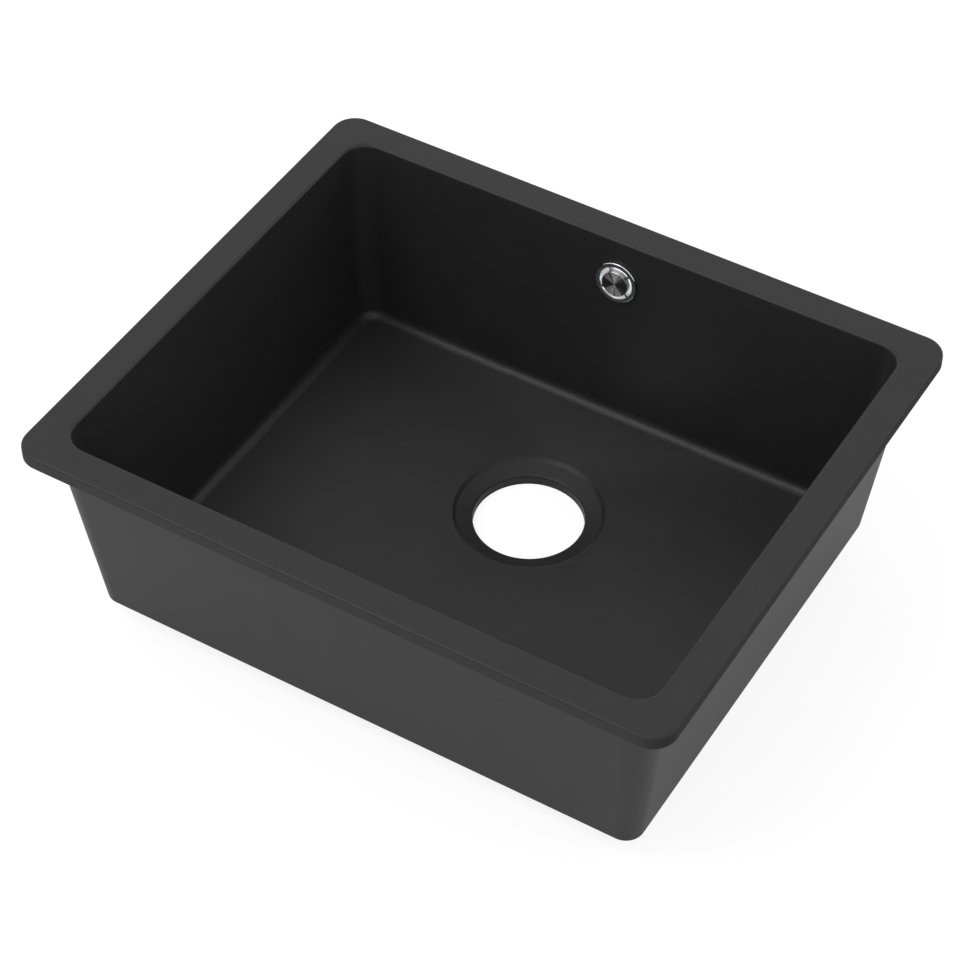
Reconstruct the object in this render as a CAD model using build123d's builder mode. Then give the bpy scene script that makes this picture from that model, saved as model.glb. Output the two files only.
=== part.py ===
# Inset kitchen sink: one moulded bowl with a raised rim, an open drain seat,
# a round overflow fitting clamped through the back wall and threaded fixing anchors.
# The origin is the centre of the rim's underside, the plane of the worktop. +Y is the back.
from build123d import *
import math
import os

# Rim, in millimetres
rim_length = 550.0
rim_width = 460.0
rim_thickness = 11.5
rim_corner_radius = 20.0
rim_top_round = 2.0
rim_bottom_round = 1.0

# Inside of the bowl
opening_inset = 26.6
opening_corner_radius = 20.0
opening_round = 2.5
inner_slope = 0.095
bowl_depth = 170.2
inner_foot_radius = 17.0
floor_round = 9.0
floor_fall = 13.0
floor_middle_radius = 90.0

# Outside of the bowl
body_inset = 17.0
body_corner_radius = 24.0
outer_slope = 0.118
body_foot_radius = 15.0
floor_thickness = 5.5

# Drain seat for a strainer waste
drain_offset = 63.5
drain_seat_width = 16.5
drain_step_run = 2.8
drain_step_drop = 2.5
drain_seat_depth = 6.5
drain_hole_radius = 45.5
drain_wall = 8.5
drain_edge_round = 0.8
drain_hole_round = 2.0
boss_margin = 12.0

# Turn of the drain circle that faces each straight side of the floor, in degrees
side_arc = 30.0

# Overflow: its height below the rim's top, its hole and its levelled seat at the back
overflow_drop = 39.0
tail_radius = 16.2
hole_clearance = 0.6
hole_reach = 15.0
seat_wall = 7.0
spot_face_margin = 3.5
spot_face_depth = 6.0

# Overflow flange and its threaded tail
flange_lip = 2.3
flange_thickness = 1.8
flange_round = 0.9
mouth_round = 0.5
mouth_wall = 1.6
socket_wall = 1.2
tail_length = 21.0
socket_length = 16.0

# Ribs and hub inside the mouth of the flange
rib_count = 4
rib_first_angle = 38.0
rib_thickness = 2.0
rib_depth = 3.2
rib_setback = 0.8
hub_radius = 4.1
hub_bore_radius = 2.5
hub_length = 4.4
hub_setback = 0.4

# Pull-off cap
cap_margin = 3.1
cap_height = 4.6
cap_gap = 0.3
cap_shell = 1.0
cap_edge = 0.25
cap_boss_radius = 4.0
stem_radius = 2.0
stem_clearance = 0.02
stem_seat = 2.6
stem_setback = 0.1
ring_section_radius = 0.5
ring_groove_depth = 0.6
ring_gap = 0.02

# Seals, washer and nut of the overflow
front_seal_thickness = 0.6
front_seal_margin = 0.5
bore_clearance = 0.15
rear_seal_thickness = 2.0
rear_seal_lip = 4.8
slip_washer_thickness = 1.0
slip_washer_lip = 5.3
nut_lip = 3.8
nut_thickness = 6.0
nut_chamfer = 0.8
thread_clearance = 0.05

# Threaded anchors for the fixing clips, set into the rim's underside
anchor_radius = 3.3
anchor_bore_radius = 2.1
anchor_length = 8.0
anchor_pocket_depth = 9.5
anchor_inset = 13.4
anchor_long_spacing = 340.0
anchor_short_spacing = 220.0

# How far from a level its own edges are looked for
level_margin = 0.5

# Levels
rim_top = rim_thickness
floor_level = rim_top - bowl_depth
body_bottom = floor_level - floor_thickness
ring_level = floor_level - floor_fall
seat_level = ring_level - drain_seat_depth
boss_bottom = seat_level - drain_wall
drain_ring_radius = drain_hole_radius + drain_seat_width
boss_radius = drain_ring_radius + boss_margin
drain_mouth_radius = drain_hole_radius + drain_hole_round

# Insets from the rim's edge at the foot of the walls
inner_foot_inset = opening_inset + inner_slope * bowl_depth
outer_foot_inset = body_inset - outer_slope * body_bottom

# Frame of the overflow: its normal points out of the back wall into the bowl
wall_angle = math.atan(inner_slope)
overflow_normal = (0, -math.cos(wall_angle), math.sin(wall_angle))
overflow_y = rim_width / 2 - opening_inset - inner_slope * overflow_drop
overflow_centre = (0, overflow_y, rim_top - overflow_drop)
overflow_plane = Plane(origin=overflow_centre, x_dir=(1, 0, 0), z_dir=overflow_normal)
section_normal = (0, -math.sin(wall_angle), -math.cos(wall_angle))
overflow_section = Plane(origin=overflow_centre, x_dir=(1, 0, 0), z_dir=section_normal)
overflow_axis = Axis(overflow_centre, overflow_normal)
drain_plane = Plane(origin=(0, drain_offset, 0))
drain_axis = Axis((0, drain_offset, 0), (0, 0, 1))

# Places along the overflow's axis, positive into the bowl
flange_back = front_seal_thickness
flange_front = flange_back + flange_thickness
tail_end = -tail_length
socket_mouth = tail_end + socket_length
rear_seal_front = -seat_wall
slip_washer_front = rear_seal_front - rear_seal_thickness
nut_front = slip_washer_front - slip_washer_thickness
hub_front = -hub_setback
cap_back = hub_front + cap_gap
cap_front = cap_back + cap_height
stem_end = hub_front - hub_length - stem_setback
ring_place = hub_front - hub_length / 2

# Round sizes that follow the overflow's tail
wall_hole_radius = tail_radius + hole_clearance
clear_bore_radius = tail_radius + bore_clearance
flange_radius = tail_radius + flange_lip
mouth_radius = tail_radius - mouth_wall
socket_radius = tail_radius - socket_wall
cap_radius = mouth_radius - cap_margin
rear_seal_radius = tail_radius + rear_seal_lip
slip_washer_radius = tail_radius + slip_washer_lip
nut_half_flats = tail_radius + nut_lip
spot_face_radius = rear_seal_radius + spot_face_margin


def inset_rectangle(inset, radius):
    """Rim outline moved in by an inset, with its own corner radius."""
    RectangleRounded(rim_length - 2 * inset, rim_width - 2 * inset, radius)


def matched_circle(radius):
    """Circle in eight arcs that pair with the sides and corners of a rounded rectangle."""
    with BuildLine() as outline:
        for side_middle in (0, 90, 180, 270):
            side_end = side_middle + side_arc / 2
            CenterArc((0, drain_offset), radius, side_end - side_arc, side_arc)
            CenterArc((0, drain_offset), radius, side_end, 90 - side_arc)
    make_face(outline.edges())


def halfway_rectangle(foot_inset, ring_radius):
    """Section halfway down the fall, midway between the foot of the walls and the drain."""
    length = rim_length / 2 - foot_inset + ring_radius
    width = rim_width / 2 - foot_inset + ring_radius
    with Locations((0, drain_offset / 2)):
        RectangleRounded(length, width, floor_middle_radius)


def drain_edges(bowl, smallest, largest):
    """Round edges about the drain's axis, between two radii, above the outlet's lower end."""
    return [
        edge
        for edge in bowl.edges().filter_by(GeomType.CIRCLE)
        if drain_axis.is_coaxial(Axis(edge.arc_center, (0, 0, 1)))
        and smallest < edge.radius < largest
        and edge.center().Z > boss_bottom + level_margin
    ]


def anchor_places():
    """Centres of the fixing anchors, four along the long sides and four along the short."""
    long_y = rim_width / 2 - anchor_inset
    short_x = rim_length / 2 - anchor_inset
    places = []
    for side_x in (-1, 1):
        for side_y in (-1, 1):
            places.append((side_x * anchor_long_spacing / 2, side_y * long_y))
            places.append((side_x * short_x, side_y * anchor_short_spacing / 2))
    return places


# Space inside the bowl: drafted walls, rounded foot and a floor that falls to the drain
with BuildPart() as bowl_space:
    with BuildSketch(Plane.XY.offset(rim_top)):
        inset_rectangle(opening_inset, opening_corner_radius)
    with BuildSketch(Plane.XY.offset(floor_level)):
        inset_rectangle(inner_foot_inset, inner_foot_radius)
    loft(ruled=True)
    with BuildSketch(Plane.XY.offset(floor_level)):
        inset_rectangle(inner_foot_inset, inner_foot_radius)
    with BuildSketch(Plane.XY.offset(floor_level - floor_fall / 2)):
        halfway_rectangle(inner_foot_inset, drain_ring_radius)
    with BuildSketch(Plane.XY.offset(ring_level)):
        matched_circle(drain_ring_radius)
    loft()
    wall_feet = bowl_space.edges().filter_by_position(
        Axis.Z, floor_level - level_margin, floor_level + level_margin
    )
    fillet(wall_feet, floor_round)
    # Stepped seat of the strainer waste, and the drain hole
    with BuildSketch(Plane.XZ.offset(-drain_offset)):
        with BuildLine():
            step_foot = (drain_ring_radius - drain_step_run, ring_level - drain_step_drop)
            Polyline(
                (0, ring_level),
                (drain_ring_radius, ring_level),
                step_foot,
                (drain_hole_radius, seat_level),
                (drain_hole_radius, boss_bottom),
                (0, boss_bottom),
                close=True,
            )
        make_face()
    revolve(axis=drain_axis)

# Sink bowl: rim slab, drafted body and drain boss in one moulding
with BuildPart() as sink_bowl:
    with BuildSketch(Plane.XY):
        inset_rectangle(0, rim_corner_radius)
    extrude(amount=rim_thickness)
    fillet(sink_bowl.faces().sort_by(Axis.Z)[-1].edges(), rim_top_round)
    fillet(sink_bowl.faces().sort_by(Axis.Z)[0].edges(), rim_bottom_round)
    # Outer body
    with BuildSketch(Plane.XY):
        inset_rectangle(body_inset, body_corner_radius)
    with BuildSketch(Plane.XY.offset(body_bottom)):
        inset_rectangle(outer_foot_inset, body_foot_radius)
    loft(ruled=True)
    # Underside that follows the floor down to the drain boss
    with BuildSketch(Plane.XY.offset(body_bottom)):
        inset_rectangle(outer_foot_inset, body_foot_radius)
    with BuildSketch(Plane.XY.offset(body_bottom - floor_fall / 2)):
        halfway_rectangle(outer_foot_inset, boss_radius)
    with BuildSketch(Plane.XY.offset(body_bottom - floor_fall)):
        matched_circle(boss_radius)
    loft()
    with BuildSketch(drain_plane.offset(body_bottom - floor_fall)):
        Circle(boss_radius)
    extrude(amount=boss_bottom - body_bottom + floor_fall)
    add(bowl_space.part, mode=Mode.SUBTRACT)
    # Rounded edge of the opening
    opening_edges = sink_bowl.faces().sort_by(Axis.Z)[-1].inner_wires()[0].edges()
    fillet(opening_edges, opening_round)
    # Overflow hole with its levelled seat behind the wall
    with BuildSketch(overflow_plane.offset(-seat_wall)):
        Circle(spot_face_radius)
    extrude(amount=-spot_face_depth, mode=Mode.SUBTRACT)
    with BuildSketch(overflow_plane):
        Circle(wall_hole_radius)
    extrude(amount=hole_reach, both=True, mode=Mode.SUBTRACT)
    # Blind pockets for the fixing anchors
    with BuildSketch(Plane.XY):
        with Locations(*anchor_places()):
            Circle(anchor_radius)
    extrude(amount=anchor_pocket_depth, mode=Mode.SUBTRACT)
    # Eased edges of the drain step, and the rounder edge of the drain hole
    fillet(drain_edges(sink_bowl, drain_mouth_radius, boss_radius), drain_edge_round)
    fillet(drain_edges(sink_bowl, 0, drain_mouth_radius), drain_hole_round)
sink_bowl.part.label = "sink_bowl"

# Overflow flange: rounded face ring, threaded tail, four ribs and the hub of the cap
with BuildPart() as overflow_flange:
    with BuildSketch(overflow_plane.offset(flange_back)):
        Circle(flange_radius)
    extrude(amount=flange_thickness)
    fillet(overflow_flange.edges().sort_by(overflow_axis)[-1], flange_round)
    with BuildSketch(overflow_plane.offset(tail_end)):
        Circle(tail_radius)
    extrude(amount=flange_front + tail_length)
    with BuildSketch(overflow_plane.offset(tail_end)):
        Circle(socket_radius)
    extrude(amount=socket_length, mode=Mode.SUBTRACT)
    with BuildSketch(overflow_plane.offset(socket_mouth)):
        Circle(mouth_radius)
    extrude(amount=flange_front - socket_mouth, mode=Mode.SUBTRACT)
    fillet(overflow_flange.edges().sort_by(overflow_axis)[-1], mouth_round)
    # Ribs, cut to the mouth, with the hub that holds the cap's stem
    with BuildSketch(overflow_plane.offset(-rib_setback)):
        with PolarLocations(0, rib_count, rib_first_angle):
            Rectangle(tail_radius - bore_clearance, rib_thickness, align=(Align.MIN, Align.CENTER))
    extrude(amount=-rib_depth)
    with BuildSketch(overflow_plane.offset(hub_front)):
        Circle(hub_radius)
    extrude(amount=-hub_length)
    with BuildSketch(overflow_plane.offset(hub_front)):
        Circle(hub_bore_radius)
    extrude(amount=-hub_length, mode=Mode.SUBTRACT)
overflow_flange.part.label = "overflow_flange"

# Cap of the overflow: a shallow turned cup with a boss for its stem
with BuildPart() as overflow_cap:
    with BuildSketch(overflow_plane.offset(cap_back)):
        Circle(cap_radius)
    extrude(amount=cap_height)
    chamfer(overflow_cap.edges().sort_by(overflow_axis)[-1], cap_edge)
    with BuildSketch(overflow_plane.offset(cap_back)):
        Circle(cap_radius - cap_shell)
        Circle(cap_boss_radius, mode=Mode.SUBTRACT)
    extrude(amount=cap_height - cap_shell, mode=Mode.SUBTRACT)
    with BuildSketch(overflow_plane.offset(cap_back)):
        Circle(stem_radius + stem_clearance)
    extrude(amount=stem_seat, mode=Mode.SUBTRACT)
overflow_cap.part.label = "overflow_cap"

# Stem pressed into the cap, with a groove for its ring
with BuildPart() as cap_stem:
    with BuildSketch(overflow_plane.offset(stem_end)):
        Circle(stem_radius)
    extrude(amount=cap_back + stem_seat - stem_end)
    with BuildSketch(overflow_plane.offset(ring_place - ring_section_radius - ring_gap)):
        Circle(stem_radius)
        Circle(stem_radius - ring_groove_depth, mode=Mode.SUBTRACT)
    extrude(amount=2 * (ring_section_radius + ring_gap), mode=Mode.SUBTRACT)
cap_stem.part.label = "cap_stem"

# Rubber ring that grips the stem in the hub
with BuildPart() as stem_o_ring:
    with BuildSketch(overflow_section):
        ring_centre = stem_radius - ring_groove_depth + ring_gap + ring_section_radius
        with Locations((ring_centre, ring_place)):
            Circle(ring_section_radius)
    revolve(axis=overflow_axis)
stem_o_ring.part.label = "stem_o_ring"

# Flat seal under the flange
with BuildPart() as front_seal:
    with BuildSketch(overflow_plane):
        Circle(flange_radius - front_seal_margin)
        Circle(clear_bore_radius, mode=Mode.SUBTRACT)
    extrude(amount=front_seal_thickness)
front_seal.part.label = "front_seal"

# Rubber washer against the levelled seat behind the wall
with BuildPart() as rear_seal:
    with BuildSketch(overflow_plane.offset(rear_seal_front)):
        Circle(rear_seal_radius)
        Circle(clear_bore_radius, mode=Mode.SUBTRACT)
    extrude(amount=-rear_seal_thickness)
rear_seal.part.label = "rear_seal"

# Slip washer that keeps the nut from dragging the rubber round
with BuildPart() as slip_washer:
    with BuildSketch(overflow_plane.offset(slip_washer_front)):
        Circle(slip_washer_radius)
        Circle(clear_bore_radius, mode=Mode.SUBTRACT)
    extrude(amount=-slip_washer_thickness)
slip_washer.part.label = "slip_washer"

# Hexagon nut that clamps the overflow through the wall
with BuildPart() as overflow_nut:
    with BuildSketch(overflow_plane.offset(nut_front)):
        RegularPolygon(nut_half_flats, 6, major_radius=False)
    extrude(amount=-nut_thickness)
    nut_corner_radius = 2 * nut_half_flats / math.sqrt(3)
    with BuildSketch(overflow_section):
        with BuildLine():
            Polyline(
                (nut_corner_radius, nut_front),
                (nut_corner_radius - 2 * nut_chamfer, nut_front - nut_thickness),
                (0, nut_front - nut_thickness),
                (0, nut_front),
                close=True,
            )
        make_face()
    revolve(axis=overflow_axis, mode=Mode.INTERSECT)
    with BuildSketch(overflow_plane.offset(nut_front)):
        Circle(tail_radius + thread_clearance)
    extrude(amount=-nut_thickness, mode=Mode.SUBTRACT)
overflow_nut.part.label = "overflow_nut"

# Threaded anchors for the fixing clips, eight alike
with BuildPart() as clip_anchors:
    with BuildSketch(Plane.XY):
        with Locations(*anchor_places()):
            Circle(anchor_radius)
            Circle(anchor_bore_radius, mode=Mode.SUBTRACT)
    extrude(amount=anchor_length)
clip_anchors.part.label = "clip_anchors"

os.makedirs("parts", exist_ok=True)
pieces = [
    sink_bowl,
    overflow_flange,
    overflow_cap,
    cap_stem,
    stem_o_ring,
    front_seal,
    rear_seal,
    slip_washer,
    overflow_nut,
    clip_anchors,
]
for piece in pieces:
    export_step(piece.part, f"parts/{piece.part.label}.step")
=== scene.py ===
"""Looks of the inset kitchen sink: its finishes, the parts with finer meshes than the CAD's, and the studio.

Every object is in metres in the CAD's own frame. The origin is the centre of the rim's underside, +Y is the
back wall with the overflow and +Z is up.
"""

import logging
import math
from dataclasses import dataclass, field
from enum import Enum
from typing import Any, Sequence, Union

import bmesh
import bpy
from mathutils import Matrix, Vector


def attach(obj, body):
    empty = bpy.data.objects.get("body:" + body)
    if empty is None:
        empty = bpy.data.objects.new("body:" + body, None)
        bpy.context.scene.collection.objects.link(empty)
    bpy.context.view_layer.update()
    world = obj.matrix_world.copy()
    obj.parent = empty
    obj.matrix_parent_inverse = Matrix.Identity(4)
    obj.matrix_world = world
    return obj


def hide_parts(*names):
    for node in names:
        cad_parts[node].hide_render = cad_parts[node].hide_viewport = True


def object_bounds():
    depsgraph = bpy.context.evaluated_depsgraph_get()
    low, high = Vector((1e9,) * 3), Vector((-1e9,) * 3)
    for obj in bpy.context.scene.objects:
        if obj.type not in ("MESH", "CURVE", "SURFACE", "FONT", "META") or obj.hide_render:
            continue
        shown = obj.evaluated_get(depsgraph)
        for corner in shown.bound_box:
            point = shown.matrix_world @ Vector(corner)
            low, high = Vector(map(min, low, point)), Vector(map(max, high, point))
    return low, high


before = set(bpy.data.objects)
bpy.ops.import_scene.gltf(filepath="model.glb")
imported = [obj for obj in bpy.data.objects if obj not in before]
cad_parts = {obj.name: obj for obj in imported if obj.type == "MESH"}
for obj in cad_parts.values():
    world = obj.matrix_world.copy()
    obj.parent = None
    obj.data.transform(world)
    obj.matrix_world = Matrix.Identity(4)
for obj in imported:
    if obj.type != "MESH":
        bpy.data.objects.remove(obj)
cad_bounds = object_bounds()

log = logging.getLogger("sink")

Socket = bpy.types.NodeSocket
Wire = Union[Socket, float, Sequence[float]]
Colour = tuple[float, float, float, float]
Point = tuple[float, float, float]

# The Mix node has a row of sockets for each kind of data, and these are its colour sockets.
MIX_FIRST, MIX_SECOND, MIX_RESULT = 6, 7, 2


class Slot(Enum):
    """Material slots of the record that the pieces take their finishes from."""

    COMPOSITE = "composite"
    CHROME = "chrome"
    TURNED_STEEL = "turned_steel"
    BRASS = "brass"
    RUBBER = "rubber"
    WASHER_PLASTIC = "washer_plastic"
    NUT_PLASTIC = "nut_plastic"


class Body(Enum):
    """Bodies of the CAD that the grown pieces ride on."""

    SINK = "sink"


@dataclass
class NodeBoard:
    """A node tree together with the short calls that fill it.

    Args:
        tree: The shader or geometry node tree that the nodes are added to.
    """

    tree: bpy.types.NodeTree

    def add(self, kind: str, **settings: Any) -> bpy.types.Node:
        """Adds a node and sets its own properties.

        Args:
            kind: The node's type name.
            settings: Properties of the node and the values they take.

        Returns:
            The new node.
        """
        node = self.tree.nodes.new(kind)
        for name, value in settings.items():
            setattr(node, name, value)
        return node

    def feed(self, socket: Socket, wire: Wire) -> None:
        """Links a socket to another, or sets its value.

        Args:
            socket: The input that is fed.
            wire: An output socket, a number or a row of numbers.
        """
        if isinstance(wire, Socket):
            self.tree.links.new(wire, socket)
        else:
            socket.default_value = wire

    def math(self, operation: str, first: Wire, second: Wire = 0.0) -> Socket:
        """Adds one sum on numbers.

        Args:
            operation: The sum's name.
            first: Its first number.
            second: Its second number, if it takes one.

        Returns:
            The result.
        """
        node = self.add("ShaderNodeMath", operation=operation)
        self.feed(node.inputs[0], first)
        self.feed(node.inputs[1], second)
        return node.outputs[0]

    def vector(self, operation: str, first: Wire, second: Wire = (0.0, 0.0, 0.0)) -> Socket:
        """Adds one sum on vectors.

        Args:
            operation: The sum's name.
            first: Its first vector.
            second: Its second vector, if it takes one.

        Returns:
            The result, a number for a dot product or a length.
        """
        node = self.add("ShaderNodeVectorMath", operation=operation)
        self.feed(node.inputs[0], first)
        self.feed(node.inputs[1], second)
        return node.outputs["Value" if operation in ("DOT_PRODUCT", "LENGTH") else "Vector"]

    def scaled(self, vector: Wire, factor: Wire) -> Socket:
        """Adds a vector times a number.

        Args:
            vector: The vector.
            factor: The number.

        Returns:
            The longer or shorter vector.
        """
        node = self.add("ShaderNodeVectorMath", operation="SCALE")
        self.feed(node.inputs[0], vector)
        self.feed(node.inputs["Scale"], factor)
        return node.outputs["Vector"]

    def split(self, vector: Wire) -> bpy.types.NodeOutputs:
        """Adds a split of a vector into its numbers.

        Args:
            vector: The vector.

        Returns:
            The outputs named X, Y and Z.
        """
        node = self.add("ShaderNodeSeparateXYZ")
        self.feed(node.inputs[0], vector)
        return node.outputs

    def joined(self, x: Wire = 0.0, y: Wire = 0.0, z: Wire = 0.0) -> Socket:
        """Adds a vector made of three numbers.

        Args:
            x: Its first number.
            y: Its second number.
            z: Its third number.

        Returns:
            The vector.
        """
        node = self.add("ShaderNodeCombineXYZ")
        for socket, wire in zip(node.inputs, (x, y, z)):
            self.feed(socket, wire)
        return node.outputs[0]

    def from_axis(self, place: Wire, centre: Wire, axis: Wire) -> tuple[Socket, ...]:
        """Adds the way from an axis to a place.

        Args:
            place: The place.
            centre: A point on the axis.
            axis: The axis, of length one.

        Returns:
            The arm that runs from the axis straight out to the place, and how far along the axis it is.
        """
        arm = self.vector("SUBTRACT", place, centre)
        along = self.vector("DOT_PRODUCT", arm, axis)
        return self.vector("SUBTRACT", arm, self.scaled(axis, along)), along

    def noise(self, place: Wire, scale: Wire, detail: float, roughness: float = 0.5) -> Socket:
        """Adds a noise of about 0.5 in the mean.

        Args:
            place: The coordinates it is read at.
            scale: Its scale, one over the size of its patches.
            detail: Its octaves.
            roughness: How much the finer octaves count.

        Returns:
            The noise's factor.
        """
        node = self.add("ShaderNodeTexNoise")
        self.feed(node.inputs["Vector"], place)
        self.feed(node.inputs["Scale"], scale)
        node.inputs["Detail"].default_value = detail
        node.inputs["Roughness"].default_value = roughness
        return node.outputs["Fac"]

    def span(self, value: Wire, low: Wire, high: Wire, to_low: Wire, to_high: Wire) -> Socket:
        """Adds a clamped change of range.

        Args:
            value: The number that is read.
            low: Its value at the range's start.
            high: Its value at the range's end.
            to_low: The result at the start.
            to_high: The result at the end.

        Returns:
            The number in its new range.
        """
        node = self.add("ShaderNodeMapRange")
        for socket, wire in zip(node.inputs, (value, low, high, to_low, to_high)):
            self.feed(socket, wire)
        return node.outputs["Result"]

    def blend(self, factor: Wire, first: Wire, second: Wire) -> Socket:
        """Adds a mix of two colours.

        Args:
            factor: How much of the second shows.
            first: The first colour.
            second: The second colour.

        Returns:
            The mixed colour.
        """
        node = self.add("ShaderNodeMix", data_type="RGBA")
        self.feed(node.inputs["Factor"], factor)
        self.feed(node.inputs[MIX_FIRST], first)
        self.feed(node.inputs[MIX_SECOND], second)
        return node.outputs[MIX_RESULT]

    def bump(self, height: Wire, distance: float) -> Socket:
        """Adds a bump.

        Args:
            height: The height, from 0 to 1.
            distance: The depth in metres that a height of 1 stands for.

        Returns:
            The bumped normal.
        """
        node = self.add("ShaderNodeBump")
        node.inputs["Distance"].default_value = distance
        self.feed(node.inputs["Height"], height)
        return node.outputs["Normal"]


@dataclass
class SharedEffect:
    """A shader node group that several finishes place with their own values.

    Args:
        name: The group's name.
        numbers: Its number inputs with their usual values.
        vectors: Its vector inputs.
        results: Its outputs, all of them numbers.
    """

    name: str
    numbers: dict[str, float]
    vectors: tuple[str, ...]
    results: tuple[str, ...]
    board: NodeBoard = field(init=False)

    def __post_init__(self) -> None:
        """Makes the group and its sockets."""
        tree = bpy.data.node_groups.new(self.name, "ShaderNodeTree")
        for name in self.vectors:
            tree.interface.new_socket(name=name, in_out="INPUT", socket_type="NodeSocketVector")
        for name, value in self.numbers.items():
            socket = tree.interface.new_socket(name=name, in_out="INPUT", socket_type="NodeSocketFloat")
            socket.default_value = value
        for name in self.results:
            tree.interface.new_socket(name=name, in_out="OUTPUT", socket_type="NodeSocketFloat")
        self.board = NodeBoard(tree)
        self.entry = self.board.add("NodeGroupInput").outputs
        self.exit = self.board.add("NodeGroupOutput").inputs

    def place(self, board: NodeBoard, **wires: Wire) -> bpy.types.Node:
        """Places the group in a material.

        Args:
            board: The material's nodes.
            wires: What feeds each input, with underscores for the spaces of its name.

        Returns:
            The group's node.
        """
        node = board.add("ShaderNodeGroup", node_tree=self.board.tree)
        for name, wire in wires.items():
            board.feed(node.inputs[name.replace("_", " ")], wire)
        return node


@dataclass(frozen=True)
class GrainPattern:
    """The grain of a moulded or filled surface: fine bumps, a slow change of tone and specks.

    Args:
        fine_roughness: How much the finer octaves count in the bumps.
        tone_scale_share: The tone's scale as a share of the bumps'.
        speck_core: How far a speck stays whole from its middle, in cells.
        speck_rim: Where it ends, in cells.
    """

    octaves: float = 3.0
    fine_roughness: float = 0.6
    tone_scale_share: float = 0.02
    speck_core: float = 0.16
    speck_rim: float = 0.3

    def build(self) -> SharedEffect:
        """Builds the group.

        Returns:
            The group, with a mask of specks, a slow tone and a height.
        """
        effect = SharedEffect(
            "moulded_grain",
            {"Grain size": 0.0006, "Speck size": 0.0011, "Speck amount": 0.2},
            ("Place",),
            ("Specks", "Tone", "Height"),
        )
        board, entry = effect.board, effect.entry
        fine_scale = board.math("DIVIDE", 1.0, entry["Grain size"])
        fine = board.noise(entry["Place"], fine_scale, self.octaves, self.fine_roughness)
        slow_scale = board.math("DIVIDE", self.tone_scale_share, entry["Grain size"])
        slow = board.noise(entry["Place"], slow_scale, self.octaves)
        cells = board.add("ShaderNodeTexVoronoi")
        board.feed(cells.inputs["Vector"], entry["Place"])
        board.feed(cells.inputs["Scale"], board.math("DIVIDE", 1.0, entry["Speck size"]))
        chance = board.add("ShaderNodeSeparateColor")
        board.feed(chance.inputs[0], cells.outputs["Color"])
        kept = board.math("LESS_THAN", chance.outputs["Red"], entry["Speck amount"])
        spot = board.span(cells.outputs["Distance"], self.speck_core, self.speck_rim, 1.0, 0.0)
        specks = board.math("MULTIPLY", kept, spot)
        board.feed(effect.exit["Specks"], board.math("MULTIPLY", specks, chance.outputs["Green"]))
        board.feed(effect.exit["Tone"], slow)
        board.feed(effect.exit["Height"], fine)
        return effect


@dataclass(frozen=True)
class TurningPattern:
    """The rings that a lathe leaves round an axis.

    Args:
        ring_roughness: How much the finer octaves count in the rings' height.
        shine_scale: The shine's scale as a share of the rings'.
    """

    octaves: float = 2.0
    ring_roughness: float = 0.7
    shine_scale: float = 0.16

    def build(self) -> SharedEffect:
        """Builds the group.

        Returns:
            The group, with the rings' height and their uneven shine.
        """
        effect = SharedEffect(
            "turned_rings",
            {"Pitch": 0.0002},
            ("Place", "Centre", "Axis"),
            ("Height", "Shine"),
        )
        board, entry = effect.board, effect.entry
        arm, along = board.from_axis(entry["Place"], entry["Centre"], entry["Axis"])
        rings = board.joined(
            board.math("DIVIDE", board.vector("LENGTH", arm), entry["Pitch"]),
            board.math("DIVIDE", along, entry["Pitch"]),
        )
        board.feed(effect.exit["Height"], board.noise(rings, 1.0, self.octaves, self.ring_roughness))
        board.feed(effect.exit["Shine"], board.noise(rings, self.shine_scale, self.octaves))
        return effect


@dataclass(frozen=True)
class HandlingPattern:
    """The faint marks of wiping and handling on a shiny surface.

    Args:
        clean_start: The noise's level where smears begin at a cover of 0.
        full_start: That level at a cover of 1.
        heart: The level where a smear is whole.
    """

    octaves: float = 5.0
    roughness: float = 0.62
    clean_start: float = 0.85
    full_start: float = 0.35
    heart: float = 0.95

    def build(self) -> SharedEffect:
        """Builds the group.

        Returns:
            The group, with a mask of smears.
        """
        effect = SharedEffect("handling_marks", {"Size": 0.02, "Cover": 0.5}, ("Place",), ("Smears",))
        board, entry = effect.board, effect.entry
        scale = board.math("DIVIDE", 1.0, entry["Size"])
        cloud = board.noise(entry["Place"], scale, self.octaves, self.roughness)
        drop = board.math("MULTIPLY", entry["Cover"], self.clean_start - self.full_start)
        start = board.math("SUBTRACT", self.clean_start, drop)
        board.feed(effect.exit["Smears"], board.span(cloud, start, self.heart, 0.0, 1.0))
        return effect


class Effects:
    """The effects that more than one finish uses, each built once."""

    def __init__(self) -> None:
        """Builds the groups."""
        self.grain = GrainPattern().build()
        self.turning = TurningPattern().build()
        self.handling = HandlingPattern().build()


@dataclass
class MaterialSheet:
    """A new material with its nodes, its shader and its object coordinates.

    Args:
        name: The material's name.
    """

    name: str

    def __post_init__(self) -> None:
        """Makes the material and finds its shader."""
        self.material = bpy.data.materials.new(self.name)
        self.material.use_nodes = True
        self.board = NodeBoard(self.material.node_tree)
        self.shader = self.material.node_tree.nodes["Principled BSDF"]
        self.place = self.board.add("ShaderNodeTexCoord").outputs["Object"]

    def set(self, **values: Wire) -> None:
        """Sets or links the shader's inputs, named with underscores for spaces."""
        for name, wire in values.items():
            self.board.feed(self.shader.inputs[name.replace("_", " ")], wire)


def grey(level: float, warmth: float = 0.0) -> Colour:
    """Gives a grey in linear light, whose red gains and whose blue loses the warmth as a share."""
    return (level * (1 + warmth), level, level * (1 - warmth), 1.0)


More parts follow.
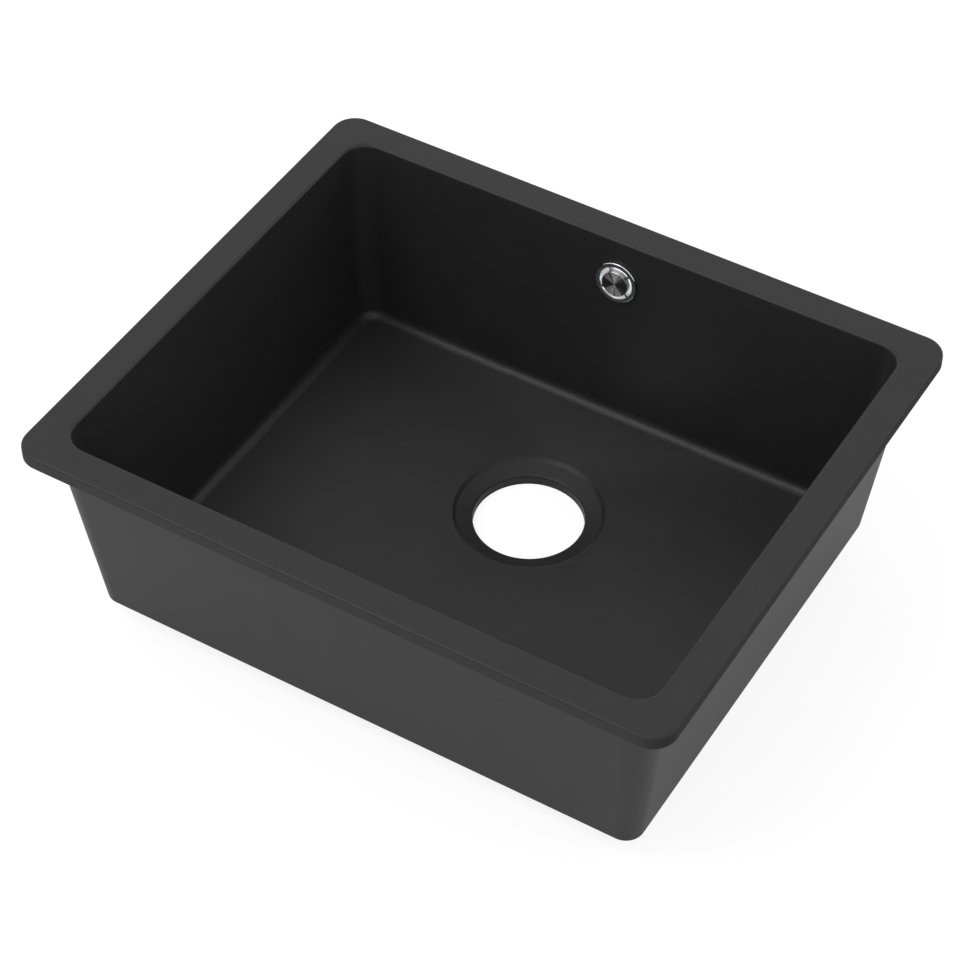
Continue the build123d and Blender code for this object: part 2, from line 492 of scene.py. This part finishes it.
@dataclass(frozen=True)
class CompositeFinish:
    """Matt black quartz composite: black resin full of fine mineral, with dull bright specks.

    The upright outer face of the rim is rougher than the moulded faces and painted darker there as painted
    shade, most on the short sides.

    Args:
        tone_limits: The slow noise's levels where the resin is darkest and lightest.
        edge_reach: How far out in X and in Y the rim's outer face begins, in metres.
        edge_fade: The width over which it comes in from there.
        underside_fade: The height over which it comes in at the rim's underside.
        tilt_limits: How much of a normal points up where a face starts and stops to count less.
        long_edge_share: How much of the painted shade and the roughness the long sides have.
        short_edge_facing: How much of a normal points along X on a face that gets all of the painted shade
            and the roughness.
    """

    dark: float = 0.0185
    light: float = 0.0220
    speck: float = 0.05
    grain_size: float = 0.0007
    speck_size: float = 0.0012
    speck_amount: float = 0.25
    grain_depth: float = 0.00009
    roughness: float = 0.41
    speck_roughness: float = 0.3
    specular: float = 0.31
    tone_limits: tuple[float, float] = (0.2, 0.8)
    rim_side_shade_tone: float = 0.012
    edge_roughness: float = 0.85
    edge_reach: tuple[float, float] = (0.262, 0.217)
    edge_fade: float = 0.001
    underside_fade: float = 0.0006
    tilt_limits: tuple[float, float] = (0.25, 0.7)
    long_edge_share: float = 0.3
    short_edge_facing: float = 0.9

    def build(self, effects: Effects) -> bpy.types.Material:
        """Builds the material.

        Args:
            effects: The shared effects.

        Returns:
            The material.
        """
        sheet = MaterialSheet(Slot.COMPOSITE.value)
        board = sheet.board
        grain = effects.grain.place(
            board,
            Place=sheet.place,
            Grain_size=self.grain_size,
            Speck_size=self.speck_size,
            Speck_amount=self.speck_amount,
        )
        tone = board.span(grain.outputs["Tone"], *self.tone_limits, 0.0, 1.0)
        resin = board.blend(tone, grey(self.dark), grey(self.light))
        colour = board.blend(grain.outputs["Specks"], resin, grey(self.speck))
        rough = board.span(grain.outputs["Specks"], 0.0, 1.0, self.roughness, self.speck_roughness)
        edge = self.painted_rim_side_shade(sheet)
        sheet.set(
            # Painted shade: the rim's upright outer face gets a darker base colour, most on the short sides.
            Base_Color=board.blend(edge, colour, grey(self.rim_side_shade_tone)),
            Roughness=board.span(edge, 0.0, 1.0, rough, self.edge_roughness),
            Normal=board.bump(grain.outputs["Height"], self.grain_depth),
            Specular_IOR_Level=self.specular,
        )
        return sheet.material

    def painted_rim_side_shade(self, sheet: MaterialSheet) -> Socket:
        """Finds the upright outer face of the rim, where painted shade and roughness go, both weaker along
        the long sides.

        Args:
            sheet: The material that it is added to.

        Returns:
            1 on that face at the short sides, less along the long sides and 0 elsewhere.
        """
        board = sheet.board
        spot = board.split(sheet.place)
        past_x, past_y = (
            board.math("SUBTRACT", board.math("ABSOLUTE", spot[name]), reach)
            for name, reach in zip("XY", self.edge_reach)
        )
        outer = board.span(board.math("MAXIMUM", past_x, past_y), 0.0, self.edge_fade, 0.0, 1.0)
        above = board.span(spot["Z"], -self.underside_fade, 0.0, 0.0, 1.0)
        facing = board.split(board.add("ShaderNodeTexCoord").outputs["Normal"])
        upright = board.span(board.math("ABSOLUTE", facing["Z"]), *self.tilt_limits, 1.0, 0.0)
        across = board.math("ABSOLUTE", facing["X"])
        # How much of the painted shade and the roughness a face gets, by which way it faces.
        dull = board.span(across, 0.0, self.short_edge_facing, self.long_edge_share, 1.0)
        there = board.math("MULTIPLY", outer, above)
        return board.math("MULTIPLY", there, board.math("MULTIPLY", dull, upright))


@dataclass(frozen=True)
class ChromeFinish:
    """Bright chrome plate with faint wiping marks."""

    colour: float = 0.72
    warmth: float = -0.02
    roughness: float = 0.07
    smear_roughness: float = 0.2
    smear_size: float = 0.012
    ripple_size: float = 0.004
    ripple_octaves: float = 2.0
    ripple_depth: float = 0.000006

    def build(self, effects: Effects) -> bpy.types.Material:
        """Builds the material.

        Args:
            effects: The shared effects.

        Returns:
            The material.
        """
        sheet = MaterialSheet(Slot.CHROME.value)
        board = sheet.board
        marks = effects.handling.place(board, Place=sheet.place, Size=self.smear_size)
        rough = board.span(marks.outputs["Smears"], 0.0, 1.0, self.roughness, self.smear_roughness)
        ripple = board.noise(sheet.place, 1 / self.ripple_size, self.ripple_octaves)
        sheet.set(
            Base_Color=grey(self.colour, self.warmth),
            Metallic=1.0,
            Roughness=rough,
            Normal=board.bump(ripple, self.ripple_depth),
        )
        return sheet.material


@dataclass(frozen=True)
class PaintedHighlightWedge:
    """A bright wedge painted on a turned disc, a painted highlight in its colour.

    Args:
        turn: Its middle, in degrees from the top towards +X.
        half_width: Half its width in degrees.
        strength: How bright it is, from 0 to 1.
    """

    turn: float
    half_width: float
    strength: float


@dataclass(frozen=True)
class TurnedSteelFinish:
    """Face-turned steel, whose fine rings stretch each light into wedges that meet at the centre, and whose
    bright wedges are also painted highlights in its colour and metallic, fixed on the disc.

    Args:
        centre: A point on the axis that the face was turned about.
        axis: That axis.
        wedges: The painted highlight wedges.
        wedge_fade: The angle in degrees over which a wedge fades out past its half width.
        shine_limits: The levels of the rings' shine between which it changes the wedges.
        least_shine: The share of a wedge that the dullest ring keeps.
        dull: The grey between the wedges.
        bright: The grey of the brightest painted highlight wedge.
        highlight_metallic: How metallic the brightest painted highlight wedge is.
        stretch: How far the rings stretch a light.
    """

    centre: Point
    axis: Point
    wedges: tuple[PaintedHighlightWedge, ...] = (
        PaintedHighlightWedge(-52.0, 14.0, 0.75),
        PaintedHighlightWedge(-2.0, 17.0, 1.0),
        PaintedHighlightWedge(22.0, 12.0, 0.45),
        PaintedHighlightWedge(152.0, 15.0, 0.9),
        PaintedHighlightWedge(191.0, 8.0, 0.85),
        PaintedHighlightWedge(210.0, 16.0, 0.65),
    )
    wedge_fade: float = 6.0
    shine_limits: tuple[float, float] = (0.3, 0.7)
    least_shine: float = 0.8
    dull: float = 0.24
    bright: float = 0.8
    highlight_metallic: float = 0.77
    pitch: float = 0.00022
    depth: float = 0.000012
    roughness: float = 0.34
    stretch: float = 0.85

    def build(self, effects: Effects) -> bpy.types.Material:
        """Builds the material.

        Args:
            effects: The shared effects.

        Returns:
            The material.
        """
        sheet = MaterialSheet(Slot.TURNED_STEEL.value)
        board = sheet.board
        rings = effects.turning.place(
            board, Place=sheet.place, Centre=self.centre, Axis=self.axis, Pitch=self.pitch
        )
        arm, _ = board.from_axis(sheet.place, self.centre, self.axis)
        outward = board.vector("NORMALIZE", arm)
        shine = board.span(rings.outputs["Shine"], *self.shine_limits, self.least_shine, 1.0)
        # Painted highlight: the bright wedges go into the base colour and lower the metallic, scaled ring by
        # ring by the shine.
        painted_highlight = board.math("MULTIPLY", self.painted_highlight_fan(board, outward), shine)
        sheet.set(
            Base_Color=board.blend(painted_highlight, grey(self.dull), grey(self.bright)),
            Metallic=board.span(painted_highlight, 0.0, 1.0, 1.0, self.highlight_metallic),
            Roughness=self.roughness,
            Anisotropic=self.stretch,
            Tangent=outward,
            Normal=board.bump(rings.outputs["Height"], self.depth),
        )
        return sheet.material

    def painted_highlight_fan(self, board: NodeBoard, outward: Socket) -> Socket:
        """Lays the painted highlight wedges out round the disc.

        Args:
            board: The material's nodes.
            outward: The direction away from the disc's axis, of length one.

        Returns:
            How much painted highlight the disc has, from 0 to 1.
        """
        across = Vector((1.0, 0.0, 0.0))
        upward = Vector(self.axis).cross(across).normalized()
        upward *= math.copysign(1.0, upward.z)
        brightest: Wire = 0.0
        for wedge in self.wedges:
            turn = math.radians(wedge.turn)
            middle = across * math.sin(turn) + upward * math.cos(turn)
            nearness = board.vector("DOT_PRODUCT", outward, tuple(middle))
            edge = math.cos(math.radians(wedge.half_width))
            faded = math.cos(math.radians(wedge.half_width + self.wedge_fade))
            lobe = board.span(nearness, faded, edge, 0.0, wedge.strength)
            brightest = board.math("MAXIMUM", brightest, lobe)
        return brightest


@dataclass(frozen=True)
class BrassFinish:
    """Machined brass with a little tarnish.

    Args:
        centre: A point on the axis that the parts were turned about.
        axis: That axis.
    """

    centre: Point
    axis: Point
    fresh: Colour = (0.71, 0.50, 0.20, 1.0)
    tarnished: Colour = (0.38, 0.24, 0.09, 1.0)
    tarnish_size: float = 0.003
    tarnish_cover: float = 0.9
    roughness: float = 0.26
    tarnished_roughness: float = 0.42
    pitch: float = 0.00015
    depth: float = 0.000008

    def build(self, effects: Effects) -> bpy.types.Material:
        """Builds the material.

        Args:
            effects: The shared effects.

        Returns:
            The material.
        """
        sheet = MaterialSheet(Slot.BRASS.value)
        board = sheet.board
        rings = effects.turning.place(
            board, Place=sheet.place, Centre=self.centre, Axis=self.axis, Pitch=self.pitch
        )
        marks = effects.handling.place(
            board, Place=sheet.place, Size=self.tarnish_size, Cover=self.tarnish_cover
        )
        tarnish = marks.outputs["Smears"]
        sheet.set(
            Base_Color=board.blend(tarnish, self.fresh, self.tarnished),
            Metallic=1.0,
            Roughness=board.span(tarnish, 0.0, 1.0, self.roughness, self.tarnished_roughness),
            Normal=board.bump(rings.outputs["Height"], self.depth),
        )
        return sheet.material


@dataclass(frozen=True)
class MouldedFinish:
    """Moulded rubber or plastic with a fine even texture.

    Args:
        slot: The record's slot that it is for.
        dark: Its darker tone.
        light: Its lighter tone.
        roughness: Its roughness.
        grain_size: The size of its texture in metres.
        grain_depth: The depth of its texture in metres.
        texture_limits: The texture's heights where the roughness stops changing.
        roughness_swing: How far the roughness goes up and down with the texture.
    """

    slot: Slot
    dark: float
    light: float
    roughness: float
    grain_size: float = 0.0005
    grain_depth: float = 0.00003
    texture_limits: tuple[float, float] = (0.3, 0.7)
    roughness_swing: float = 0.05

    def build(self, effects: Effects) -> bpy.types.Material:
        """Builds the material.

        Args:
            effects: The shared effects.

        Returns:
            The material.
        """
        sheet = MaterialSheet(self.slot.value)
        board = sheet.board
        grain = effects.grain.place(board, Place=sheet.place, Grain_size=self.grain_size, Speck_amount=0.0)
        texture = grain.outputs["Height"]
        smooth, rough = self.roughness - self.roughness_swing, self.roughness + self.roughness_swing
        sheet.set(
            Base_Color=board.blend(grain.outputs["Tone"], grey(self.dark), grey(self.light)),
            Roughness=board.span(texture, *self.texture_limits, smooth, rough),
            Normal=board.bump(texture, self.grain_depth),
        )
        return sheet.material


@dataclass
class CadDresser:
    """Gives CAD nodes their materials.

    Args:
        materials: The finished materials by slot.
    """

    materials: dict[Slot, bpy.types.Material]

    def dress(self, node: str, slot: Slot) -> None:
        """Puts a material on a CAD node.

        Args:
            node: The node's name.
            slot: The slot whose material it gets.
        """
        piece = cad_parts[node]
        if not piece.material_slots:
            piece.data.materials.append(self.materials[slot])
        for holder in piece.material_slots:
            holder.material = self.materials[slot]
        log.info("%s keeps its CAD mesh, dressed as %s", node, slot.value)


@dataclass
class SinkMoulding:
    """The one-piece composite sink."""

    node: str = "sink_bowl"

    def build(self, dresser: CadDresser) -> None:
        """Dresses the moulding."""
        dresser.dress(self.node, Slot.COMPOSITE)


@dataclass
class OverflowFitting:
    """The overflow, clamped through the back wall, with its pull-off cap.

    Args:
        centre: Where its axis meets the back wall's face.
        normal: Its axis, out of the wall into the bowl.
        finishes: The slot whose material each of its pieces gets.
    """

    centre: Point = (0.0, 0.199695, -0.0275)
    normal: Point = (0.0, -0.995518, 0.094574)
    finishes: dict[str, Slot] = field(
        default_factory=lambda: {
            "overflow_flange": Slot.CHROME,
            "overflow_cap": Slot.TURNED_STEEL,
            "cap_stem": Slot.BRASS,
            "stem_o_ring": Slot.RUBBER,
            "front_seal": Slot.RUBBER,
            "rear_seal": Slot.RUBBER,
            "slip_washer": Slot.WASHER_PLASTIC,
            "overflow_nut": Slot.NUT_PLASTIC,
        }
    )

    def build(self, dresser: CadDresser) -> None:
        """Dresses the fitting's pieces."""
        for node, slot in self.finishes.items():
            dresser.dress(node, slot)


@dataclass
class GrownPiece:
    """A geometry node tree whose result becomes a plain mesh.

    Args:
        name: The tree's name.
        lengths: Its number inputs with their usual values.
        counts: Its whole-number inputs with their usual values.
    """

    name: str
    lengths: dict[str, float]
    counts: dict[str, int]
    board: NodeBoard = field(init=False)

    def __post_init__(self) -> None:
        """Makes the tree and its sockets."""
        tree = bpy.data.node_groups.new(self.name, "GeometryNodeTree")
        tree.interface.new_socket(name="Geometry", in_out="OUTPUT", socket_type="NodeSocketGeometry")
        tree.interface.new_socket(name="Finish", in_out="INPUT", socket_type="NodeSocketMaterial")
        for values, kind in ((self.lengths, "NodeSocketFloat"), (self.counts, "NodeSocketInt")):
            for name, value in values.items():
                socket = tree.interface.new_socket(name=name, in_out="INPUT", socket_type=kind)
                socket.default_value = value
        self.board = NodeBoard(tree)
        self.entry = self.board.add("NodeGroupInput").outputs

    def node(self, kind: str, mode: str = "", **wires: Wire) -> bpy.types.Node:
        """Adds a geometry node with its inputs fed by name.

        Args:
            kind: The node's type name.
            mode: The way that it works, for a node with a choice.
            wires: What feeds each input, with underscores for the spaces of its name.

        Returns:
            The new node.
        """
        node = self.board.add(kind, **({"mode": mode} if mode else {}))
        for name, wire in wires.items():
            self.board.feed(node.inputs[name.replace("_", " ")], wire)
        return node

    def raised(self, shape: Socket, height: Wire) -> Socket:
        """Moves a shape up by the height."""
        shift = self.board.joined(z=height)
        return self.node("GeometryNodeTransform", Geometry=shape, Translation=shift).outputs[0]

    def coil(self, radius: Wire, height: Wire, turns: Wire, steps: Wire) -> Socket:
        """Winds an even coil round Z.

        Args:
            radius: Its radius.
            height: Its height, below zero for one that goes down.
            turns: Its turns.
            steps: Its steps per turn.

        Returns:
            The coil's curve.
        """
        spiral = self.node(
            "GeometryNodeCurveSpiral",
            Resolution=steps,
            Rotations=turns,
            Start_Radius=radius,
            End_Radius=radius,
            Height=height,
        )
        return spiral.outputs[0]

    def swept(self, path: Wire, radius: Wire, sides: int, **wires: Wire) -> Socket:
        """Sweeps a round wire with closed ends along a path.

        Args:
            path: The path's curve.
            radius: The wire's radius.
            sides: The sides of its section.
            wires: What else feeds the sweep.

        Returns:
            The wire's mesh.
        """
        ring = self.node("GeometryNodeCurvePrimitiveCircle", "RADIUS", Resolution=sides, Radius=radius)
        wire = self.node(
            "GeometryNodeCurveToMesh", Curve=path, Profile_Curve=ring.outputs[0], Fill_Caps=True, **wires
        )
        return wire.outputs[0]

    def close(self, shape: Socket) -> None:
        """Ends the tree with real meshes in their finish.

        Args:
            shape: The geometry that the tree has made.
        """
        real = self.node("GeometryNodeRealizeInstances", Geometry=shape)
        dressed = self.node(
            "GeometryNodeSetMaterial", Geometry=real.outputs[0], Material=self.entry["Finish"]
        )
        exit_node = self.board.add("NodeGroupOutput")
        self.board.feed(exit_node.inputs["Geometry"], dressed.outputs[0])

    def make(self, piece_name: str, finish: bpy.types.Material, crease: float) -> bpy.types.Object:
        """Evaluates the tree once and keeps its result.

        Args:
            piece_name: The name of the piece.
            finish: The material it gets.
            crease: The angle in degrees past which an edge stays sharp.

        Returns:
            The piece, a plain mesh at the origin.
        """
        piece = bpy.data.objects.new(piece_name, bpy.data.meshes.new(piece_name))
        bpy.context.scene.collection.objects.link(piece)
        modifier = piece.modifiers.new(self.name, "NODES")
        modifier.node_group = self.board.tree
        values = {**self.lengths, **self.counts, "Finish": finish}
        for item in self.board.tree.interface.items_tree:
            if item.in_out == "INPUT":
                modifier[item.identifier] = values[item.name]
        graph = bpy.context.evaluated_depsgraph_get()
        mesh = bpy.data.meshes.new_from_object(piece.evaluated_get(graph))
        piece.modifiers.clear()
        piece.data = mesh
        mesh.name = piece_name
        mesh.polygons.foreach_set("use_smooth", [True] * len(mesh.polygons))
        mesh.set_sharp_from_angle(angle=math.radians(crease))
        log.info("%s: %d faces from %s", piece_name, len(mesh.polygons), self.name)
        return piece


@dataclass
class TailThread:
    """The round thread on the overflow's tail, where it comes out of the nut.

    Args:
        fitting: The overflow that it belongs to.
        start: How far in front of the wall's face it starts, below zero behind it.
        taper_share: The share of its length over which each end grows to full thickness.
        tip: The thickness of its ends as a share.
    """

    fitting: OverflowFitting
    root_radius: float = 0.0162
    wire_radius: float = 0.00042
    pitch: float = 0.0018
    start: float = -0.0163
    length: float = 0.0042
    steps_per_turn: int = 72
    wire_sides: int = 8
    taper_share: float = 0.12
    tip: float = 0.02
    crease: float = 50.0

    def build(self, finish: bpy.types.Material) -> None:
        """Grows the thread and puts it on the tail.

        Args:
            finish: The fitting's chrome.
        """
        grown = GrownPiece(
            "tail_thread_tree",
            {
                "Root radius": self.root_radius,
                "Wire radius": self.wire_radius,
                "Turns": self.length / self.pitch,
                "Length": self.length,
                "Start": self.start,
                "Tilt": math.atan2(self.fitting.normal[2], -self.fitting.normal[1]),
            },
            {"Steps per turn": self.steps_per_turn},
        )
        board, entry = grown.board, grown.entry
        depth = board.math("MULTIPLY", entry["Length"], -1.0)
        coil = grown.coil(entry["Root radius"], depth, entry["Turns"], entry["Steps per turn"])
        along = grown.node("GeometryNodeSplineParameter").outputs["Factor"]
        from_end = board.math("MINIMUM", along, board.math("SUBTRACT", 1.0, along))
        taper = board.span(from_end, 0.0, self.taper_share, self.tip, 1.0)
        wound = grown.node("GeometryNodeSetCurveRadius", Curve=coil, Radius=taper)
        ridge = grown.swept(wound.outputs[0], entry["Wire radius"], self.wire_sides, Scale=taper)
        placed = grown.node(
            "GeometryNodeTransform",
            Geometry=grown.raised(ridge, entry["Start"]),
            Rotation=board.joined(x=board.math("SUBTRACT", math.pi / 2, entry["Tilt"])),
            Translation=self.fitting.centre,
        )
        grown.close(placed.outputs[0])
        piece = grown.make("tail_thread", finish, self.crease)
        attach(piece, Body.SINK.value)


@dataclass
class ClipAnchors:
    """The eight knurled brass anchors under the rim, each with a thread in its bore.

    Args:
        edge_round: The radius of a wall's edges.
        long_spacing: How far apart the anchors on a long side are.
        long_reach: How far apart the two rows on the long sides are.
        short_spacing: How far apart the anchors on a short side are.
        short_reach: How far apart the two rows on the short sides are.
        thread_start_share: Where the thread starts, as a share of the length.
        thread_share: The thread's height, as a share of the length.
        node: The CAD node that they stand for.
    """

    outer_radius: float = 0.0033
    bore_radius: float = 0.00245
    length: float = 0.008
    edge_round: float = 0.0002
    knurl_teeth: int = 24
    knurl_depth: float = 0.0001
    pitch: float = 0.0008
    wire_radius: float = 0.00034
    long_spacing: float = 0.340
    long_reach: float = 0.4332
    short_spacing: float = 0.220
    short_reach: float = 0.5232
    steps_per_tooth: int = 4
    edge_steps: int = 2
    thread_steps: int = 24
    wire_sides: int = 6
    thread_start_share: float = 0.08
    thread_share: float = 0.85
    crease: float = 40.0
    node: str = "clip_anchors"

    def build(self, finish: bpy.types.Material) -> None:
        """Grows the anchors in their places.

        Args:
            finish: The brass.
        """
        grown = GrownPiece(
            "anchor_tree",
            {
                "Outer radius": self.outer_radius,
                "Bore radius": self.bore_radius,
                "Length": self.length,
                "Edge round": self.edge_round,
                "Knurl depth": self.knurl_depth,
                "Pitch": self.pitch,
                "Wire radius": self.wire_radius,
                "Long spacing": self.long_spacing,
                "Long reach": self.long_reach,
                "Short spacing": self.short_spacing,
                "Short reach": self.short_reach,
            },
            {"Knurl teeth": self.knurl_teeth},
        )
        one = grown.node("GeometryNodeJoinGeometry")
        grown.board.feed(one.inputs[0], self.shell(grown))
        grown.board.feed(one.inputs[0], self.thread(grown))
        placed = grown.node(
            "GeometryNodeInstanceOnPoints", Points=self.places(grown), Instance=one.outputs[0]
        )
        grown.close(placed.outputs[0])
        piece = grown.make("anchor_inserts", finish, self.crease)
        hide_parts(self.node)
        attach(piece, Body.SINK.value)

    def shell(self, grown: GrownPiece) -> Socket:
        """Sweeps the anchor's wall round its bore and cuts the knurl into its outside.

        Args:
            grown: The tree that it is added to.

        Returns:
            The wall's mesh.
        """
        board, entry = grown.board, grown.entry
        wall = board.math("SUBTRACT", entry["Outer radius"], entry["Bore radius"])
        middle = board.math("ADD", board.math("MULTIPLY", wall, 0.5), entry["Bore radius"])
        path = grown.node(
            "GeometryNodeCurvePrimitiveCircle",
            "RADIUS",
            Resolution=board.math("MULTIPLY", entry["Knurl teeth"], self.steps_per_tooth),
            Radius=middle,
        )
        section = grown.node(
            "GeometryNodeCurvePrimitiveQuadrilateral", "RECTANGLE", Width=wall, Height=entry["Length"]
        )
        eased = grown.node(
            "GeometryNodeFilletCurve",
            "POLY",
            Curve=section.outputs[0],
            Count=self.edge_steps,
            Radius=entry["Edge round"],
        )
        tube = grown.node(
            "GeometryNodeCurveToMesh", Curve=path.outputs[0], Profile_Curve=eased.outputs[0]
        )
        raised = grown.raised(tube.outputs[0], board.math("MULTIPLY", entry["Length"], 0.5))
        place = grown.node("GeometryNodeInputPosition").outputs[0]
        parts = board.split(place)
        turn = board.math("ARCTAN2", parts["Y"], parts["X"])
        wave = board.math("COSINE", board.math("MULTIPLY", turn, entry["Knurl teeth"]))
        flat_place = board.vector("MULTIPLY", place, (1.0, 1.0, 0.0))
        reach = board.vector("LENGTH", flat_place)
        outside = board.span(reach, middle, entry["Outer radius"], 0.0, 1.0)
        ridges = board.math("MULTIPLY", board.math("MULTIPLY", outside, entry["Knurl depth"]), wave)
        cut = board.math("SUBTRACT", ridges, entry["Knurl depth"])
        shift = board.scaled(board.vector("NORMALIZE", flat_place), cut)
        knurled = grown.node(
            "GeometryNodeSetPosition", Geometry=raised, Offset=board.scaled(shift, outside)
        )
        return knurled.outputs[0]

    def thread(self, grown: GrownPiece) -> Socket:
        """Winds the thread inside the bore.

        Args:
            grown: The tree that it is added to.

        Returns:
            The thread's mesh.
        """
        board, entry = grown.board, grown.entry
        height = board.math("MULTIPLY", entry["Length"], self.thread_share)
        turns = board.math("DIVIDE", height, entry["Pitch"])
        coil = grown.coil(entry["Bore radius"], height, turns, self.thread_steps)
        ridge = grown.swept(coil, entry["Wire radius"], self.wire_sides)
        return grown.raised(ridge, board.math("MULTIPLY", entry["Length"], self.thread_start_share))

    def places(self, grown: GrownPiece) -> Socket:
        """Sets out the anchors, four along the long sides and four along the short.

        Args:
            grown: The tree that they are added to.

        Returns:
            The points.
        """
        entry = grown.entry
        both = grown.node("GeometryNodeJoinGeometry")
        for across, along in (("Long spacing", "Long reach"), ("Short reach", "Short spacing")):
            corners = grown.node(
                "GeometryNodeMeshGrid",
                Size_X=entry[across],
                Size_Y=entry[along],
                Vertices_X=2,
                Vertices_Y=2,
            )
            grown.board.feed(both.inputs[0], corners.outputs["Mesh"])
        return both.outputs[0]


@dataclass(frozen=True)
class Lamp:
    """A soft square lamp.

    Args:
        name: Its name.
        place: Where it stands.
        aim: What it points at.
        size: Its side in metres.
        power: Its power in watts.
    """

    name: str
    place: Point
    aim: Point
    size: float
    power: float

    def build(self) -> None:
        """Adds the lamp to the scene."""
        data = bpy.data.lights.new(self.name, "AREA")
        data.shape = "SQUARE"
        data.size = self.size
        data.energy = self.power
        lamp = bpy.data.objects.new(self.name, data)
        lamp.location = self.place
        beam = Vector(self.aim) - Vector(self.place)
        lamp.rotation_euler = beam.to_track_quat("-Z", "Y").to_euler()
        bpy.context.scene.collection.objects.link(lamp)


@dataclass
class Studio:
    """A plain pale floor, soft light and the camera at the photograph's viewing angle.

    Args:
        floor_glow: The strength of the white that the camera sees on the floor.
        shadow_share: How much of the lit floor, with its shadow, the camera sees in that white.
        floor_mirror: How much of the white shows in a glossy surface.
        world_mirror: How much of the world's full white shows in a glossy surface.
        world_light: The world's strength as a light.
        azimuth: How far the camera is turned about Z, in degrees.
        elevation: How far it looks down, in degrees.
    """

    floor_level: float = cad_bounds[0][2]
    floor_size: float = 12.0
    floor_squares: int = 8
    floor_colour: float = 0.8
    floor_roughness: float = 0.9
    floor_specular: float = 0.1
    floor_glow: float = 1.2
    shadow_share: float = 0.3
    floor_mirror: float = 0.25
    world_mirror: float = 0.6
    world_light: float = 0.81
    azimuth: float = 31.02
    elevation: float = 45.90
    camera_place: Point = (0.81987, -1.37657, 1.57422)
    lens: float = 111.597
    sensor_width: float = 36.0
    view_depth: float = 50.0
    lamps: tuple[Lamp, ...] = (
        Lamp("key", place=(-1.2, -1.4, 2.6), aim=(0.0, 0.0, 0.0), size=1.6, power=26.5),
        Lamp("side", place=(1.6, 1.6, 0.8), aim=(0.27, 0.15, -0.1), size=1.0, power=2.5),
    )

    def build(self) -> None:
        """Builds the studio."""
        self.build_floor()
        self.build_world()
        for lamp in self.lamps:
            lamp.build()
        self.build_camera()
        bpy.context.scene.view_settings.view_transform = "Standard"
        log.info("studio: floor at %.4f m, %d lamps", self.floor_level, len(self.lamps))

    def build_floor(self) -> None:
        """Lays the floor, which shows white to the camera but keeps the sink's shadow."""
        mesh = bpy.data.meshes.new("floor")
        work = bmesh.new()
        squares = self.floor_squares
        bmesh.ops.create_grid(work, x_segments=squares, y_segments=squares, size=self.floor_size / 2)
        bmesh.ops.translate(work, verts=work.verts, vec=(0.0, 0.0, self.floor_level))
        work.to_mesh(mesh)
        work.free()
        floor = bpy.data.objects.new("floor", mesh)
        bpy.context.scene.collection.objects.link(floor)
        sheet = MaterialSheet("floor_paper")
        board = sheet.board
        sheet.set(
            Base_Color=grey(self.floor_colour),
            Roughness=self.floor_roughness,
            Specular_IOR_Level=self.floor_specular,
        )
        glow = board.add("ShaderNodeEmission")
        glow.inputs["Strength"].default_value = self.floor_glow
        mixer = board.add("ShaderNodeMixShader")
        glowing = board.math("MULTIPLY", self.seen(board, self.floor_mirror), 1 - self.shadow_share)
        board.feed(mixer.inputs["Fac"], glowing)
        board.feed(mixer.inputs[1], sheet.shader.outputs[0])
        board.feed(mixer.inputs[2], glow.outputs[0])
        output = board.tree.nodes["Material Output"]
        board.feed(output.inputs["Surface"], mixer.outputs[0])
        mesh.materials.append(sheet.material)

    def seen(self, board: NodeBoard, mirror_share: float) -> Socket:
        """Adds the test for rays that show the background: the camera's, and those in metal and glass.

        Args:
            board: The nodes that it is added to.
            mirror_share: How much it counts in a glossy surface.

        Returns:
            1 for a camera's ray or one through glass, the share for one in a glossy surface, else 0.
        """
        path = board.add("ShaderNodeLightPath")
        mirrored = board.math("MULTIPLY", path.outputs["Is Glossy Ray"], mirror_share)
        rays = board.math("ADD", path.outputs["Is Camera Ray"], mirrored)
        rays = board.math("ADD", rays, path.outputs["Is Transmission Ray"])
        return board.math("MINIMUM", rays, 1.0)

    def build_world(self) -> None:
        """Makes the world white to the camera and a little softer as a light."""
        world = bpy.data.worlds.new("studio_world")
        world.use_nodes = True
        board = NodeBoard(world.node_tree)
        backdrop = world.node_tree.nodes["Background"]
        backdrop.inputs["Color"].default_value = grey(1.0)
        strength = board.span(self.seen(board, self.world_mirror), 0.0, 1.0, self.world_light, 1.0)
        board.feed(backdrop.inputs["Strength"], strength)
        bpy.context.scene.world = world

    def build_camera(self) -> None:
        """Adds the camera."""
        data = bpy.data.cameras.new("camera")
        data.sensor_width = self.sensor_width
        data.lens = self.lens
        data.clip_end = self.view_depth
        camera = bpy.data.objects.new("camera", data)
        camera.location = self.camera_place
        camera.rotation_euler = (math.radians(90 - self.elevation), 0.0, math.radians(self.azimuth))
        bpy.context.scene.collection.objects.link(camera)
        bpy.context.scene.camera = camera


def main() -> None:
    """Builds the finishes, the pieces and the studio."""
    logging.basicConfig(level=logging.INFO, format="%(name)s: %(message)s")
    effects = Effects()
    overflow = OverflowFitting()
    materials = {
        Slot.COMPOSITE: CompositeFinish().build(effects),
        Slot.CHROME: ChromeFinish().build(effects),
        Slot.TURNED_STEEL: TurnedSteelFinish(overflow.centre, overflow.normal).build(effects),
        Slot.BRASS: BrassFinish(overflow.centre, overflow.normal).build(effects),
    }
    for moulded in (
        MouldedFinish(Slot.RUBBER, dark=0.015, light=0.024, roughness=0.7),
        MouldedFinish(Slot.WASHER_PLASTIC, dark=0.62, light=0.7, roughness=0.45),
        MouldedFinish(Slot.NUT_PLASTIC, dark=0.03, light=0.04, roughness=0.5),
    ):
        materials[moulded.slot] = moulded.build(effects)
    dresser = CadDresser(materials)
    SinkMoulding().build(dresser)
    overflow.build(dresser)
    TailThread(overflow).build(materials[Slot.CHROME])
    ClipAnchors().build(materials[Slot.BRASS])
    Studio().build()


if __name__ == "__main__":
    main()
